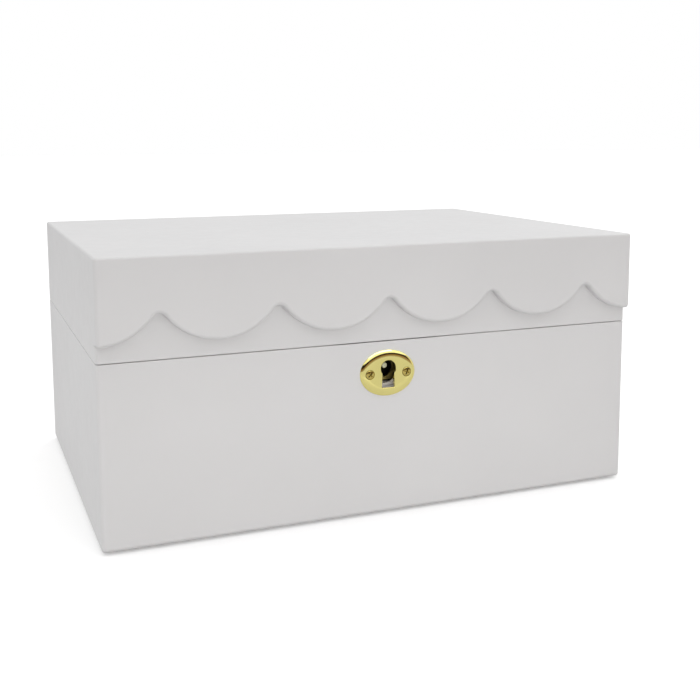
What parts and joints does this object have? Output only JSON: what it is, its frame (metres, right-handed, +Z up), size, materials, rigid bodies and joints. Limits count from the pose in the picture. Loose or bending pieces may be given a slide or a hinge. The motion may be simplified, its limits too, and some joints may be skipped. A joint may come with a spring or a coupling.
{
  "type": "jewellery chest",
  "caption": "White lacquered jewellery chest with a hinged scalloped lid, a gold oval lock plate and sliding velvet-lined drawers inside.",
  "frame": {"origin": "on the table under the middle of the chest, at the base felt's underside", "axes": "+X to the chest's right as seen from the front, +Y to the back where the hinges are, +Z up"},
  "size_m": [0.28, 0.2088, 0.136],
  "materials": {
    "lacquer": "satin white lacquer over fibreboard",
    "velvet": "short blush velvet",
    "felt": "pressed grey felt",
    "brass": "polished gold-coloured plate",
    "nickel": "bright nickel plate",
    "mirror": "silvered glass",
    "ribbon": "satin ribbon"
  },
  "bodies": {
    "chest": {"base_felt": "felt", "bottom_panel": "lacquer", "front_panel": "lacquer", "back_panel": "lacquer", "left_panel": "lacquer", "right_panel": "lacquer", "floor_lining": "velvet", "left_lining": "velvet", "right_lining": "velvet", "front_lining": "velvet", "back_lining": "velvet", "upper_runner_front": "lacquer", "upper_runner_back": "lacquer", "lower_runner_front": "lacquer", "lower_runner_back": "lacquer", "escutcheon": "brass", "escutcheon_screw_left": "brass", "escutcheon_screw_right": "brass", "lock_case": "nickel", "lock_back_plate": "brass", "lock_screw_left": "brass", "lock_screw_right": "brass", "lock_key_pin": "nickel", "lock_spring": "nickel", "hinge_left_chest_leaf": "brass", "hinge_right_chest_leaf": "brass", "hinge_left_pin": "brass", "hinge_right_pin": "brass", "hinge_chest_screw_left_1": "brass", "hinge_chest_screw_left_2": "brass", "hinge_chest_screw_right_1": "brass", "hinge_chest_screw_right_2": "brass"},
    "lid": {"lid_top_panel": "lacquer", "lid_front_panel": "lacquer", "lid_back_panel": "lacquer", "lid_left_panel": "lacquer", "lid_right_panel": "lacquer", "lid_scallop_board": "lacquer", "lid_wall_lining": "velvet", "mirror_surround": "velvet", "mirror": "mirror", "link_plate": "brass", "link_screw_left": "brass", "link_screw_right": "brass", "hinge_left_lid_leaf": "brass", "hinge_right_lid_leaf": "brass", "hinge_lid_screw_left_1": "brass", "hinge_lid_screw_left_2": "brass", "hinge_lid_screw_right_1": "brass", "hinge_lid_screw_right_2": "brass"},
    "lock_bolt": {"lock_bolt": "brass"},
    "upper_drawer": {"upper_drawer_tray": "lacquer", "upper_drawer_lining": "velvet", "upper_drawer_divider": "lacquer", "ring_pad": "velvet", "upper_drawer_pull": "ribbon"},
    "lower_drawer": {"lower_drawer_tray": "lacquer", "lower_drawer_lining": "velvet", "lower_drawer_divider": "lacquer", "lower_drawer_pull": "ribbon"}
  },
  "joints": [
    {"name": "lid_hinge", "type": "hinge", "parent": "chest", "child": "lid", "pos_m": [0, 0.10225, 0.08825], "axis": [-1, 0, 0], "range_deg": [0, 95]},
    {"name": "lock_bolt_slide", "type": "slide", "parent": "chest", "child": "lock_bolt", "axis": [1, 0, 0], "range_m": [0, 0.0035]},
    {"name": "upper_drawer_slide", "type": "slide", "parent": "chest", "child": "upper_drawer", "axis": [1, 0, 0], "range_m": [0, 0.129]},
    {"name": "lower_drawer_slide", "type": "slide", "parent": "chest", "child": "lower_drawer", "axis": [-1, 0, 0], "range_m": [0, 0.129]}
  ]
}
